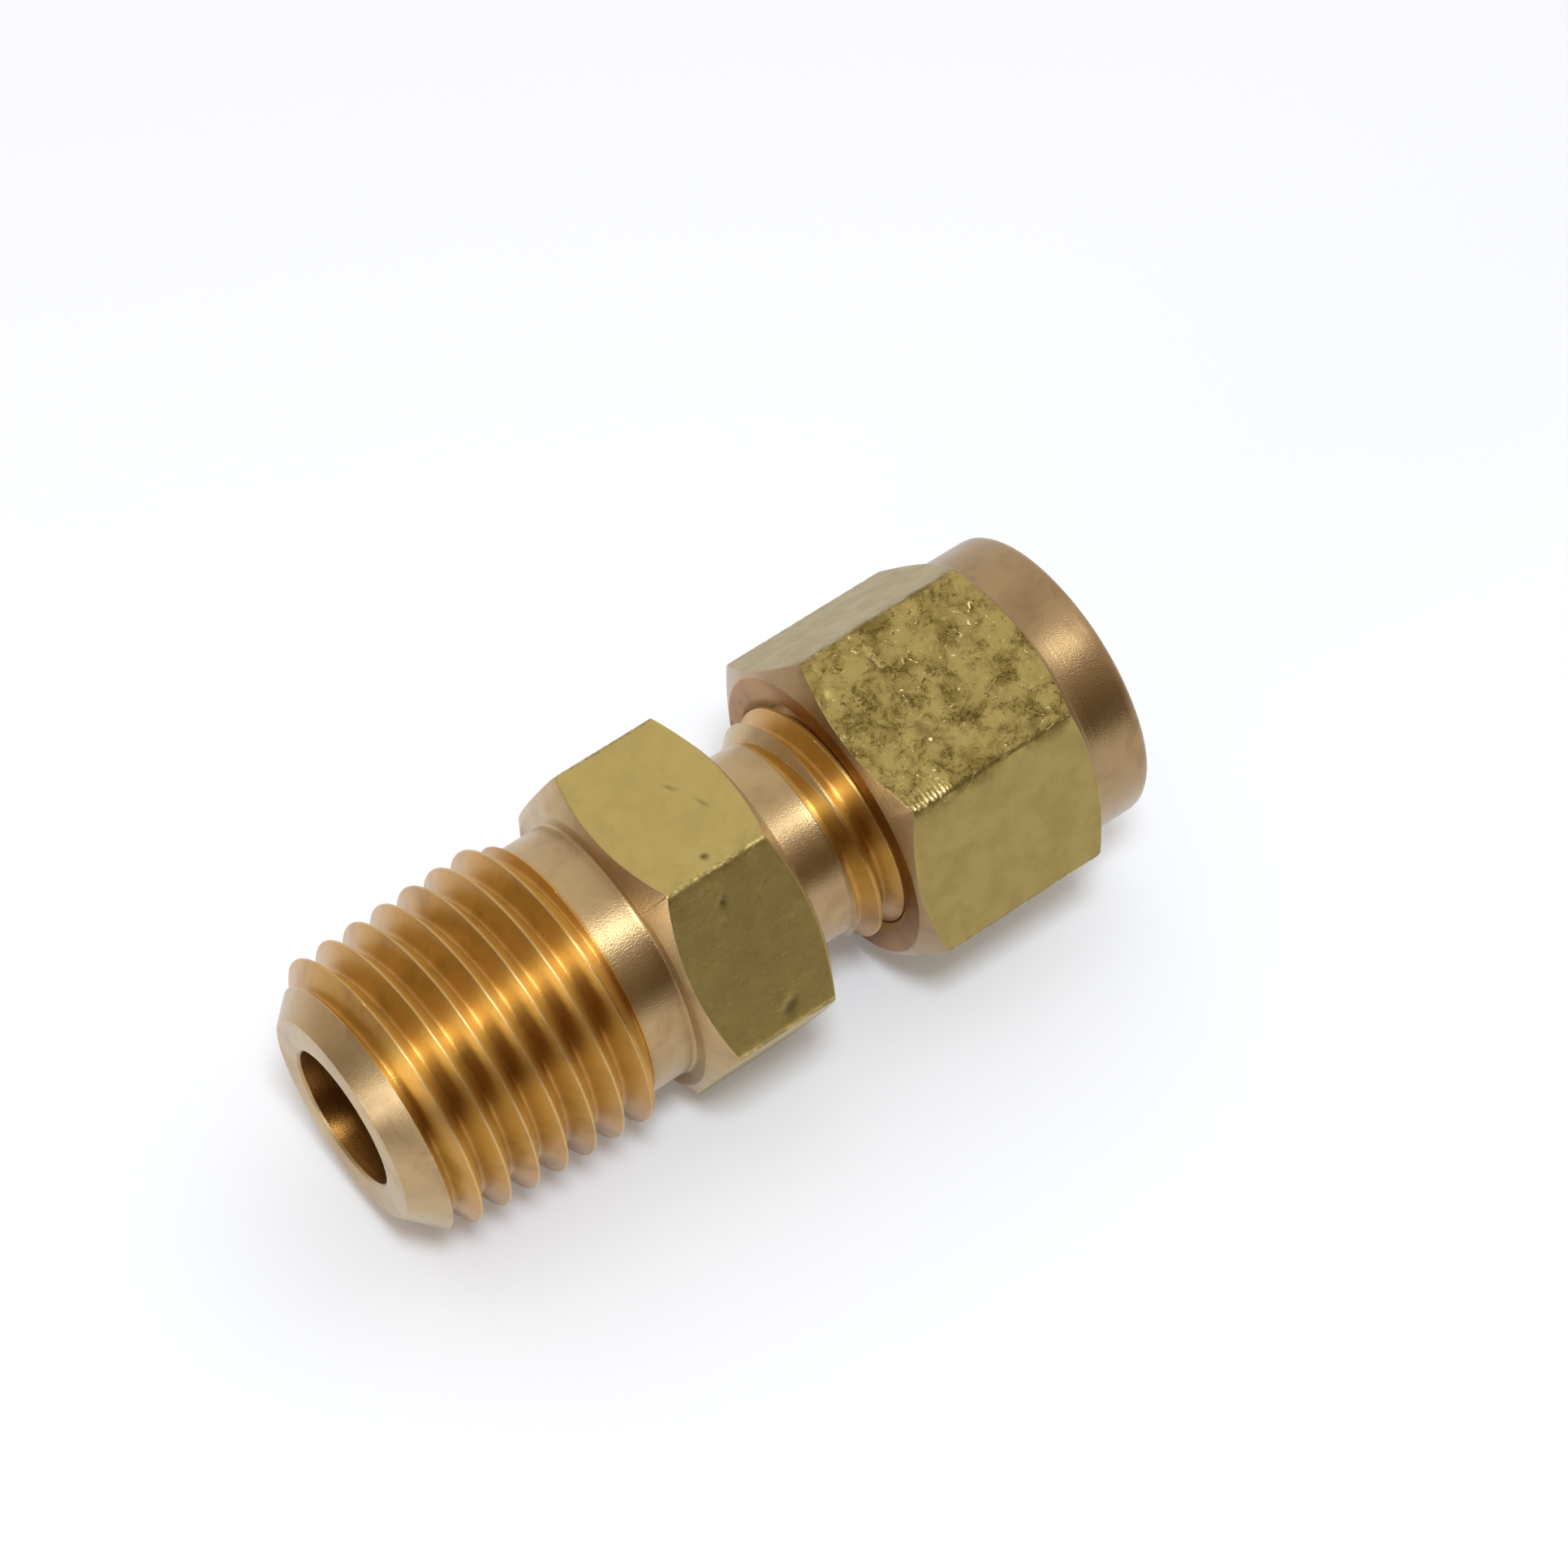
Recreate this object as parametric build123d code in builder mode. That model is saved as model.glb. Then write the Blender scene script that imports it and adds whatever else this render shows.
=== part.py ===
# Male pipe connector with a two-ferrule compression end: 1/4 in tube to a 1/4-18 tapered
# pipe thread, turned from hexagonal brass bar.
#
# Millimetres. +X runs along the bore from the pipe end to the tube end, +Z is up, and the
# origin is the centre of the pipe-end face. Four pieces: the connector body, the nut that
# screws onto it, and the two ferrules that the nut presses onto the tube. The nut is drawn
# finger-tight, with the ferrules held between it and the mouth of the body.
import os
from math import atan, ceil, cos, degrees, radians, sqrt, tan

from build123d import *

INCH = 25.4

# ---- the tube and the way through --------------------------------------------------------
tube_diameter = 0.25 * INCH
tube_clearance = 0.15             # on the diameter, in the body's socket and in both ferrules
nut_hole_clearance = 0.30         # on the diameter, in the nut, which must pass freely over it
flow_bore = 4.8                   # the hole that is left past the tube stop
pipe_bore = 6.5                   # back-drilled hole at the pipe end
pipe_bore_depth = 11.5
drill_point = 118.0
bore_edge = 0.12                  # the small chamfer round each end of a bore
seat_gap = 0.05                   # square to the cone, between pieces that meet at a cone

# ---- tapered pipe thread, 1/4-18 ---------------------------------------------------------
pipe_pitch = INCH / 18
pipe_taper = 1 / 32               # gain of radius for each millimetre along the thread
pipe_crest_radius = 6.60          # carried back to the end face
pipe_crest_flat = 0.07
pipe_thread_depth = 1.10
pipe_thread_length = 12.2
pipe_thread_clock = 1.3           # where the groove starts, one pitch before the face
pipe_face_radius = 4.85           # the flat end face, inside the 45 degree chamfer
pipe_runout_angle = 30.0          # how the crests come down to the neck
groove_runout = 0.45              # share of a turn in which the tool leaves the groove
overcut = 0.04                    # how far a thread tool stands clear of the crests

# ---- neck between the pipe thread and the hexagon ----------------------------------------
neck_radius = 6.10
neck_length = 1.65
neck_fillet = 0.25

# ---- body hexagon ------------------------------------------------------------------------
hex_flats = 9 / 16 * INCH         # both hexagons are the same bar
bar_edge_radius = 0.35            # the drawn bar's own rounded edges
hex_length = 6.65
hex_face_step = 0.34              # from a flat in to the edge of the turned face
hex_chamfer = 30.0
rest_turn = -2.7                  # the flats' turn about X when it lies on its corners, degrees

# ---- collar and straight thread, 7/16-20 -------------------------------------------------
collar_step = 0.02                # how far the collar lies under the root of the thread
collar_length = 2.55
nut_pitch = INCH / 20
nut_thread_radius = 7 / 32 * INCH - 0.03
nut_crest_flat = nut_pitch / 8
nut_thread_depth = 0.6 * nut_pitch
nut_thread_length = 6.85
nut_thread_clock = 337.3          # where its groove starts, one pitch before the collar's end
body_end_chamfer = 0.75
socket_depth = 7.3                # from the body's mouth to the tube stop
seat_half_angle = 20.0            # the cone in the mouth that closes the front ferrule
seat_depth = 2.1

# ---- nut ---------------------------------------------------------------------------------
nut_length = 12.75
nut_hex_length = 9.8
nut_turn = 17.6                   # how far its flats stand from the body's, degrees
nut_face_step = 0.25              # from a flat in to the edge of the turned face
nut_shoulder_step = 0.165         # from a flat in to the turned shoulder
nut_rim_round = 0.75
nut_end_wall = 3.6                # length of the tube's hole, from the cone to the end face
flank_gap = 0.06                  # play between the two threads, square to the flank
crest_gap = 0.08                  # over the body's thread
root_gap = 0.15                   # between the nut's crests and the root of the body's thread
mouth_gap = 0.38                  # round the body's thread, at the nut's countersunk mouth
pull_up_turns = 1.25              # what the nut's thread keeps for tightening with a spanner
relief_length = 0.9               # the plain groove in which the nut's thread ends

# ---- ferrules ----------------------------------------------------------------------------
ferrule_play = 0.5                # inside the crests of the nut's thread
front_length = 3.6
front_nose_wall = 0.28
front_cup_depth = 0.75            # the 45 degree cup that takes the back ferrule's nose
back_length = 2.3
back_nose_wall = 0.42
back_tip_wall = 0.12
back_flange_length = 0.45
back_heel_wall = 0.20

# ---- what follows from those sizes -------------------------------------------------------
tube_hole_radius = (tube_diameter + tube_clearance) / 2
nut_hole_radius = (tube_diameter + nut_hole_clearance) / 2
flank_slope = tan(radians(30))
chamfer_slope = tan(radians(hex_chamfer))
seat_slope = tan(radians(seat_half_angle))
hex_radius = hex_flats / 2
hex_reach = hex_radius / cos(radians(30))
hex_face_radius = hex_radius - hex_face_step

pipe_root_flat = pipe_pitch - pipe_crest_flat - 2 * pipe_thread_depth * flank_slope
end_chamfer_length = (pipe_crest_radius - pipe_face_radius) / (1 - pipe_taper)
crest_drop = pipe_crest_radius + pipe_taper * pipe_thread_length - neck_radius
crest_end = pipe_thread_length - crest_drop / (tan(radians(pipe_runout_angle)) + pipe_taper)

nut_root_radius = nut_thread_radius - nut_thread_depth
nut_root_flat = nut_pitch - nut_crest_flat - 2 * nut_thread_depth * flank_slope
collar_radius = nut_root_radius - collar_step

# places along X: the body first, then the ferrules and the nut, each on the one before it
hex_start = pipe_thread_length + neck_length
hex_end = hex_start + hex_length
collar_end = hex_end + collar_length
body_end = collar_end + nut_thread_length
tube_stop = body_end - socket_depth
seat_start = body_end - seat_depth

ferrule_radius = nut_root_radius + root_gap - ferrule_play
seat_shift = seat_gap / cos(radians(seat_half_angle))
front_start = seat_start + (front_nose_wall + seat_shift) / seat_slope
front_shoulder = seat_start + (ferrule_radius - tube_hole_radius + seat_shift) / seat_slope
front_end = front_start + front_length
cup_start = front_end - front_cup_depth
cone_shift = seat_gap * sqrt(2)
back_start = cup_start + back_tip_wall + cone_shift
back_end = back_start + back_length
heel_radius = tube_hole_radius + back_heel_wall
nut_cone_foot = back_end + cone_shift + heel_radius - nut_hole_radius
nut_end = nut_cone_foot + nut_end_wall
nut_start = nut_end - nut_length

body_groove_start = collar_end - nut_pitch
nut_crest_radius = nut_root_radius + root_gap
nut_bottom_radius = nut_thread_radius + crest_gap
relief_start = body_end + pull_up_turns * nut_pitch


def hexagon(start, turn):
    """The bar's section at X = start, a flat on top before it is turned about X."""
    with BuildSketch(Plane.YZ.offset(start)) as outline:
        RegularPolygon(hex_radius, 6, major_radius=False, rotation=turn)
        fillet(outline.vertices(), bar_edge_radius)
    return outline.sketch


def thread_path(start, length, pitch, radius, clock, taper=0.0):
    """A right-hand helix round X. Its clock angle is counted from +Z, as the helix turns."""
    path = Helix(
        pitch,
        length,
        radius,
        center=(start, 0, 0),
        direction=(1, 0, 0),
        cone_angle=degrees(atan(taper)),
        mode=Mode.PRIVATE,
    )
    return path.rotate(Axis.X, clock)


def groove(path, root_flat, height):
    """A 60 degree groove's section at the start of its path: above the root, or below it."""
    foot = path @ 0
    outward = Vector(0, foot.Y, foot.Z).normalized()
    half_root = root_flat / 2
    half_mouth = half_root + abs(height) * flank_slope
    with BuildSketch(Plane(origin=foot, x_dir=outward, z_dir=path % 0)) as section:
        with BuildLine():
            Polyline(
                (0, -half_root),
                (height, -half_mouth),
                (height, half_mouth),
                (0, half_root),
                close=True,
            )
        make_face()
    return section.sketch


def cut_thread(start, end, pitch, root_radius, root_flat, height, clock, taper=0.0):
    """Cut the groove into the part being built, turn by turn, from X = start to X = end."""
    for turn in range(ceil((end - start) / pitch)):
        turn_start = start + turn * pitch
        turn_radius = root_radius + taper * (turn_start - start)
        turn_length = min(pitch, end - turn_start)
        path = thread_path(turn_start, turn_length, pitch, turn_radius, clock, taper)
        section = groove(path, root_flat, height)
        sweep(section, path=path, is_frenet=True, mode=Mode.SUBTRACT)


# ---- connector body: both turned ends, their threads, then the hexagon and the bore --------
with BuildPart() as connector_body:
    hex_middle = (hex_start + hex_end) / 2
    with BuildSketch(Plane.XZ) as pipe_turning:
        neck_end = (hex_start - neck_fillet, neck_radius)
        fillet_end = (hex_start, neck_radius + neck_fillet)
        with BuildLine():
            Polyline(
                (hex_middle, 0),
                (0, 0),
                (0, pipe_face_radius),
                (end_chamfer_length, pipe_face_radius + end_chamfer_length),
                (crest_end, pipe_crest_radius + pipe_taper * crest_end),
                (pipe_thread_length, neck_radius),
                neck_end,
            )
            RadiusArc(neck_end, fillet_end, neck_fillet)
            Polyline(fillet_end, (hex_middle, neck_radius + neck_fillet), (hex_middle, 0))
        make_face()
    revolve(axis=Axis.X)

    pipe_groove_height = pipe_thread_depth + overcut
    pipe_root_start = pipe_crest_radius - pipe_thread_depth - pipe_taper * pipe_pitch
    cut_thread(
        -pipe_pitch,
        pipe_thread_length,
        pipe_pitch,
        pipe_root_start,
        pipe_root_flat,
        pipe_groove_height,
        pipe_thread_clock,
        pipe_taper,
    )
    # the tool draws out of the work over the last part of a turn
    pipe_root_end = pipe_root_start + pipe_taper * (pipe_thread_length + pipe_pitch)
    runout_length = groove_runout * pipe_pitch
    cut_thread(
        pipe_thread_length,
        pipe_thread_length + runout_length,
        pipe_pitch,
        pipe_root_end,
        pipe_root_flat,
        pipe_groove_height,
        pipe_thread_clock + 360 * pipe_thread_length / pipe_pitch,
        (neck_radius + overcut - pipe_root_end) / runout_length,
    )

    with BuildSketch(Plane.XZ) as tube_turning:
        thread_rise = nut_thread_radius - collar_radius
        with BuildLine():
            Polyline(
                (hex_middle, 0),
                (hex_middle, collar_radius),
                (collar_end, collar_radius),
                (collar_end + thread_rise, nut_thread_radius),
                (body_end - body_end_chamfer, nut_thread_radius),
                (body_end, nut_thread_radius - body_end_chamfer),
                (body_end, 0),
                close=True,
            )
        make_face()
    revolve(axis=Axis.X)

    cut_thread(
        body_groove_start,
        body_end + nut_pitch / 2,
        nut_pitch,
        nut_root_radius,
        nut_root_flat,
        nut_thread_depth + overcut,
        nut_thread_clock,
    )

    extrude(hexagon(hex_start, rest_turn), amount=hex_length)
    with BuildSketch(Plane.XZ) as hex_chamfers:
        chamfer_height = hex_reach - hex_face_radius
        for face, inward in ((hex_start, 1), (hex_end, -1)):
            with BuildLine():
                Polyline(
                    (face, hex_face_radius),
                    (face + inward * chamfer_height * chamfer_slope, hex_reach),
                    (face, hex_reach),
                    close=True,
                )
            make_face()
    revolve(axis=Axis.X, mode=Mode.SUBTRACT)

    with BuildSketch(Plane.XZ) as body_bore:
        drill_cone = (pipe_bore - flow_bore) / 2 / tan(radians(drill_point / 2))
        with BuildLine():
            Polyline(
                (0, 0),
                (0, pipe_bore / 2 + bore_edge),
                (bore_edge, pipe_bore / 2),
                (pipe_bore_depth, pipe_bore / 2),
                (pipe_bore_depth + drill_cone, flow_bore / 2),
                (tube_stop, flow_bore / 2),
                (tube_stop, tube_hole_radius),
                (seat_start, tube_hole_radius),
                (body_end, tube_hole_radius + seat_depth * seat_slope),
                (body_end, 0),
                close=True,
            )
        make_face()
    revolve(axis=Axis.X, mode=Mode.SUBTRACT)

# ---- front ferrule: a thin nose for the body's seat, a cup for the back ferrule ------------
with BuildPart() as front_ferrule:
    with BuildSketch(Plane.XZ) as front_turning:
        with BuildLine():
            Polyline(
                (front_start, tube_hole_radius),
                (front_start, tube_hole_radius + front_nose_wall),
                (front_shoulder, ferrule_radius),
                (front_end, ferrule_radius),
                (front_end, tube_hole_radius + front_cup_depth),
                (cup_start, tube_hole_radius),
                close=True,
            )
        make_face()
    revolve(axis=Axis.X)

# ---- back ferrule: nose, flange, and the 45 degree heel that the nut pushes ----------------
with BuildPart() as back_ferrule:
    with BuildSketch(Plane.XZ) as back_turning:
        nose_radius = tube_hole_radius + back_nose_wall
        flange_end = back_end - (ferrule_radius - heel_radius)
        flange_start = flange_end - back_flange_length
        with BuildLine():
            Polyline(
                (back_start, tube_hole_radius),
                (back_start, tube_hole_radius + back_tip_wall),
                (back_start + back_nose_wall - back_tip_wall, nose_radius),
                (flange_start, nose_radius),
                (flange_start, ferrule_radius),
                (flange_end, ferrule_radius),
                (back_end, heel_radius),
                (back_end, tube_hole_radius),
                close=True,
            )
        make_face()
    revolve(axis=Axis.X)

# ---- nut: hexagon and turned shoulder, the ferrule chamber and the thread ------------------
with BuildPart() as coupling_nut:
    extrude(hexagon(nut_start, rest_turn + nut_turn), amount=nut_length)
    with BuildSketch(Plane.XZ) as nut_turning:
        nut_face_radius = hex_radius - nut_face_step
        shoulder_radius = hex_radius - nut_shoulder_step
        nut_hex_end = nut_start + nut_hex_length
        rim_start = (nut_end - nut_rim_round, shoulder_radius)
        rim_end = (nut_end, shoulder_radius - nut_rim_round)
        with BuildLine():
            Polyline(
                (nut_end, 0),
                (nut_start, 0),
                (nut_start, nut_face_radius),
                (nut_start + (hex_reach - nut_face_radius) * chamfer_slope, hex_reach),
                (nut_hex_end - (hex_reach - shoulder_radius) * chamfer_slope, hex_reach),
                (nut_hex_end, shoulder_radius),
                rim_start,
            )
            RadiusArc(rim_start, rim_end, nut_rim_round)
            Line(rim_end, (nut_end, 0))
        make_face()
    revolve(axis=Axis.X, mode=Mode.INTERSECT)

    with BuildSketch(Plane.XZ) as chamber:
        mouth_radius = nut_thread_radius + mouth_gap
        cone_start = nut_cone_foot - (nut_crest_radius - nut_hole_radius)
        with BuildLine():
            Polyline(
                (nut_start, 0),
                (nut_start, mouth_radius),
                (nut_start + mouth_radius - nut_crest_radius, nut_crest_radius),
                (cone_start, nut_crest_radius),
                (nut_cone_foot, nut_hole_radius),
                (nut_end - bore_edge, nut_hole_radius),
                (nut_end, nut_hole_radius + bore_edge),
                (nut_end, 0),
                close=True,
            )
        make_face()
    revolve(axis=Axis.X, mode=Mode.SUBTRACT)

    with BuildSketch(Plane.XZ) as relief:
        with Locations((relief_start, nut_crest_radius - overcut)):
            Rectangle(
                relief_length,
                nut_bottom_radius - nut_crest_radius + 2 * overcut,
                align=(Align.MIN, Align.MIN),
            )
    revolve(axis=Axis.X, mode=Mode.SUBTRACT)

    # the nut's groove takes the body's ridge, half a pitch from the body's groove
    nut_groove_start = body_groove_start + 1.5 * nut_pitch
    play = 2 * flank_gap / cos(radians(30))
    cut_thread(
        nut_groove_start,
        relief_start + relief_length / 2,
        nut_pitch,
        nut_bottom_radius,
        nut_crest_flat + play - 2 * crest_gap * flank_slope,
        nut_crest_radius - nut_bottom_radius - overcut,
        nut_thread_clock,
    )

# ---- one file for each piece ---------------------------------------------------------------
os.makedirs("parts", exist_ok=True)
connector_body.part.label = "connector_body"
front_ferrule.part.label = "front_ferrule"
back_ferrule.part.label = "back_ferrule"
coupling_nut.part.label = "coupling_nut"
for piece in (connector_body, front_ferrule, back_ferrule, coupling_nut):
    export_step(piece.part, f"parts/{piece.part.label}.step")
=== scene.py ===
import math

import bmesh
import bpy
import numpy as np
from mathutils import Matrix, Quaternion, Vector


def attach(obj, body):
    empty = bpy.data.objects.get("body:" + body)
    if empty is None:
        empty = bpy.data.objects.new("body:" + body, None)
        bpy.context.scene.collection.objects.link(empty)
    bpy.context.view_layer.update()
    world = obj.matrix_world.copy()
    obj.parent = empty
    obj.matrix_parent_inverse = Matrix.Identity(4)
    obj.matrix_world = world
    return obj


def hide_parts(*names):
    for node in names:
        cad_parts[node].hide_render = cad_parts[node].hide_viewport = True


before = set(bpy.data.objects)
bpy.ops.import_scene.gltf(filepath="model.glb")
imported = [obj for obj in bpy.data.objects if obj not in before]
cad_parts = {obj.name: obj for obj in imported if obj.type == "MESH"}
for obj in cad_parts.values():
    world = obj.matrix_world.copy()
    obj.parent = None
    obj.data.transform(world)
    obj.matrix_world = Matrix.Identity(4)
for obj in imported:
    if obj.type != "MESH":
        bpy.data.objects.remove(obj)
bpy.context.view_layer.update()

# ---- camera --------------------------------------------------------------------------------
# It stands over the pipe end of the fitting and looks down along it towards the nut, with a
# long lens, so the far end looks hardly smaller than the near one.
MM = 0.001
camera_azimuth = math.radians(-32.76)
camera_elevation = math.radians(53.51)
camera_roll = math.radians(4.67)
camera_distance = 202.3 * MM
camera_target = Vector((24.81, 2.43, 0)) * MM
camera_lens = 106.27
camera_sensor = 36

camera_back = Vector(
    (
        math.sin(camera_azimuth) * math.cos(camera_elevation),
        -math.cos(camera_azimuth) * math.cos(camera_elevation),
        math.sin(camera_elevation),
    )
)
camera = bpy.data.objects.new("camera", bpy.data.cameras.new("camera"))
bpy.context.scene.collection.objects.link(camera)
bpy.context.scene.camera = camera
camera.location = camera_target + camera_back * camera_distance
camera.rotation_mode = "QUATERNION"
level = (-camera_back).to_track_quat("-Z", "Y")
camera.rotation_quaternion = level @ Quaternion((0, 0, 1), -camera_roll)
camera.data.sensor_width = camera_sensor
camera.data.lens = camera_lens
camera.data.clip_start = 10 * MM
camera.data.clip_end = 5

# ---- connector body ------------------------------------------------------------------------
# One piece of drawn hexagonal brass bar. Both ends are turned down and threaded, and what is
# left of the bar between them is the hexagon, chamfered where the turning tool faced it. It is
# bored from the pipe end, and the other end is opened out for the tube and its ferrules.
INCH = 25.4
bar_flats = 9 / 16 * INCH
bar_edge = 0.35
rest_turn = -2.7  # degrees about the bore, the way it rolls to rest on two corners
top_flat = 357.3  # the flats in view, by their angle about the bore from straight up
side_flat = 57.3
chamfer_slope = math.tan(math.radians(30))
flank_slope = math.tan(math.radians(30))
fine_edge = 0.03  # how far a plain turned edge is eased
worn_edge = 0.05  # and one that has been knocked

bore_mouth = 3.25
mouth_edge = 0.12
back_drill_depth = 11.5
drill_cone = 0.51
flow_bore = 2.4
end_face_radius = 4.85

pipe_pitch = INCH / 18
pipe_taper = 1 / 32
pipe_crest = 6.60
pipe_depth = 1.10
pipe_crest_flat = 0.07
pipe_length = 11.25
neck_start = 11.7
pipe_clock = 1.3
runout_slope = math.tan(math.radians(58))
groove_runout = 0.32
neck = 6.10
neck_fillet = 0.25
neck_root_ease = 0.12

hex_start = 13.85
hex_end = 20.5
hex_edge = 0.04
hex_face = bar_flats / 2 - 0.34
collar = 4.745
collar_root_ease = 0.08
collar_end = 23.05

nut_pitch = INCH / 20
screw_crest = 7 / 32 * INCH - 0.03
screw_depth = 0.6 * nut_pitch
screw_crest_flat = nut_pitch / 8
screw_clock = 337.3
body_end = 29.9
mouth_chamfer = 0.75
tube_hole = 3.25
tube_stop = 22.6
seat_start = 27.8
seat_slope = math.tan(math.radians(20))
far_along = 99  # a place beyond the end of everything

# Every stretch of an outline has one of these finishes, in the order of a piece's materials.
TURNED, THREADED, DRAWN, BORED = range(4)


def angle_between(angles, other):
    """How far round the bore it is from one angle to another, from -180 to 180 degrees."""
    return (angles - other + 180) % 360 - 180


def off_flat(angles, flats_turn):
    """How far each angle is from the middle of the nearest flat, from -30 to 30 degrees."""
    return (angles - flats_turn + 30) % 60 - 30


def columns(flats_turn):
    """Angles round the bore: an even step, and closer over the rounded edges of the bar."""
    step, closest = 1.5, 0.3
    over_an_edge = (-1.2, -0.8, -0.4, 0, 0.4, 0.8, 1.2)
    even = np.arange(0, 360, step)
    edges = [(flats_turn + 30 + 60 * k) % 360 for k in range(6)]
    near = np.array([(edge + offset) % 360 for edge in edges for offset in over_an_edge])
    gap = np.abs(angle_between(even[:, None], near[None, :])).min(axis=1)
    kept = even[(gap > closest) | (even == 0)]
    return np.concatenate([np.sort(np.concatenate([kept, near])), [360.0]])


def bar_radius(angles, flats_turn):
    """The drawn bar's radius at these angles round the bore, with its rounded edges."""
    apothem = bar_flats / 2
    off = off_flat(angles, flats_turn)
    flat = apothem / np.cos(np.radians(off))
    off_edge = np.radians(30 - np.abs(off))
    edge_centre = (apothem - bar_edge) / math.cos(math.radians(30))
    inside = np.maximum(bar_edge**2 - (edge_centre * np.sin(off_edge)) ** 2, 0)
    rounded = edge_centre * np.cos(off_edge) + np.sqrt(inside)
    flat_ends = math.atan((apothem - bar_edge) * math.tan(math.radians(30)) / apothem)
    return np.where(np.radians(np.abs(off)) > flat_ends, rounded, flat)


random_knocks = np.random.default_rng(9)


def dents(x, angles, marks):
    """How deep the marks of handling go, in mm, and how far each bares the metal.

    A mark is on one flat: the angle of that flat, the mark's place along the bore and across
    the flat, its length, width and slant in degrees, its depth, and how bright it is, from -1,
    full of dirt, to 1, bare metal. Metal is pushed up beside it.
    """
    own_flat = 40  # degrees
    heap_height, heap_place = 0.35, 1.7  # as shares of the mark's depth and width
    depth = np.zeros_like(x)
    bareness = np.zeros_like(x)
    for side, mark_x, mark_y, length, width, slant, deep, bare in marks:
        off = np.radians(side - angles)
        here = np.abs(angle_between(angles, side)) < own_flat
        across = bar_flats / 2 * np.tan(np.where(here, off, 0)) - mark_y
        lean = math.radians(slant)
        lengthwise = ((x - mark_x) * math.cos(lean) + across * math.sin(lean)) / length
        sideways = (across * math.cos(lean) - (x - mark_x) * math.sin(lean)) / width
        trough = np.exp(-(lengthwise**2) - sideways**2)
        heap = np.exp(-(lengthwise**2) - (sideways - heap_place) ** 2)
        depth += np.where(here, deep * (trough - heap_height * heap), 0)
        bareness += np.where(here, bare * trough, 0)
    return depth, bareness


def edge_wear(x, angles, flats_turn):
    """How uneven the bar's edges are, in mm, from knocking against other bars.

    Waves of three unlike lengths put the knocks at uneven distances, and each flat has its own.
    """
    knock_depth, burr_height = 0.02, 0.006
    worn_width = 1.6  # degrees
    slow, medium, fast = 3.9, 9.1, 14.7  # radians a mm
    flat_shift = 2.3
    off_edge = 30 - np.abs(off_flat(angles, flats_turn))
    flat_number = np.floor((angles - flats_turn) / 60 + 0.5)
    ripple = np.sin(medium * x + flat_shift * flat_number)
    ripple += np.sin(fast * x + flat_number) * np.sin(slow * x)
    burr = np.abs(random_knocks.normal(0, burr_height, len(x)))
    burr[-1] = burr[0]
    knocked = knock_depth * np.maximum(ripple - 0.5, 0) + burr
    return knocked * np.exp(-((off_edge / worn_width) ** 2))


def shaken(x, angles, chatter):
    """How far a tool that shook has cut an edge at each point, from 0 to 1.

    `chatter` gives each place: the angle of the edge, the two ends and the marks' spacing.
    """
    mark_width = 2.2  # degrees
    cut = np.zeros_like(x)
    for angle, chatter_start, chatter_end, spacing in chatter:
        near = np.exp(-((angle_between(angles, angle) / mark_width) ** 2))
        inside = (x > chatter_start) & (x < chatter_end)
        cut += inside * near * (0.5 + 0.5 * np.cos(2 * math.pi * x / spacing))
    return cut


def corner(x, r, soft=0.0, finish=TURNED, bared=0.0):
    """A corner of the outline: its place, how far it is eased, the finish of what follows.

    `bared` is how far knocks have bared bright metal on it, up to 1, or below 0 how far dirt
    has filled it, down to -1. On a thread's crests it is partly a painted highlight.
    """
    return (x, r, soft, finish, bared)


def along(first, last, count, finish):
    """Points between two corners, so that a long face has enough of them to be worn."""
    points = []
    for share in np.arange(1, count) / count:
        x = first[0] + (last[0] - first[0]) * share
        r = first[1] + (last[1] - first[1]) * share
        points.append(corner(x, r, 0, finish))
    return points


def bar_face(angles, flats_turn, back, front, shares, marks, chatter=()):
    """The bar's own surface between its two chamfers, with the knocks it has had.

    Dirt has been rubbed into its edges, with flecks of bare metal between. Each row of points
    keeps most of the grime of the row before it, and adds its own.
    """
    chatter_depth, chatter_bared, chamfer_bared = 0.05, 1.1, 0.5
    grimy_width = 1.0  # degrees
    grime_kept, grime_added, blur = 0.7, 0.8, (0.3, 0.4, 0.3)
    least_bare, dirtiest, barest = 0.3, -0.5, 0.8
    bar = bar_radius(angles, flats_turn)
    off_edge = 30 - np.abs(off_flat(angles, flats_turn))
    at_edge = np.exp(-((off_edge / grimy_width) ** 2))
    points = []
    grime = np.zeros(len(angles))
    for share in shares:
        x = back + (front - back) * share
        dented, bareness = dents(x, angles, marks)
        cut = shaken(x, angles, chatter)
        worn = bar - dented - edge_wear(x, angles, flats_turn) - chatter_depth * cut
        fresh = np.convolve(random_knocks.normal(0, grime_added, len(angles)), blur, "same")
        grime = grime_kept * grime + fresh
        at_chamfer = share in (0, 1)
        if at_chamfer:
            bared = np.full(len(angles), chamfer_bared)
        else:
            bared = at_edge * np.clip(grime - least_bare, dirtiest, barest)
        bared += chatter_bared * cut + bareness
        bared[-1] = bared[0]
        soft = worn_edge if at_chamfer else 0
        points.append(corner(x, worn, soft, DRAWN if share < 1 else TURNED, bared))
    return points


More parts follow.
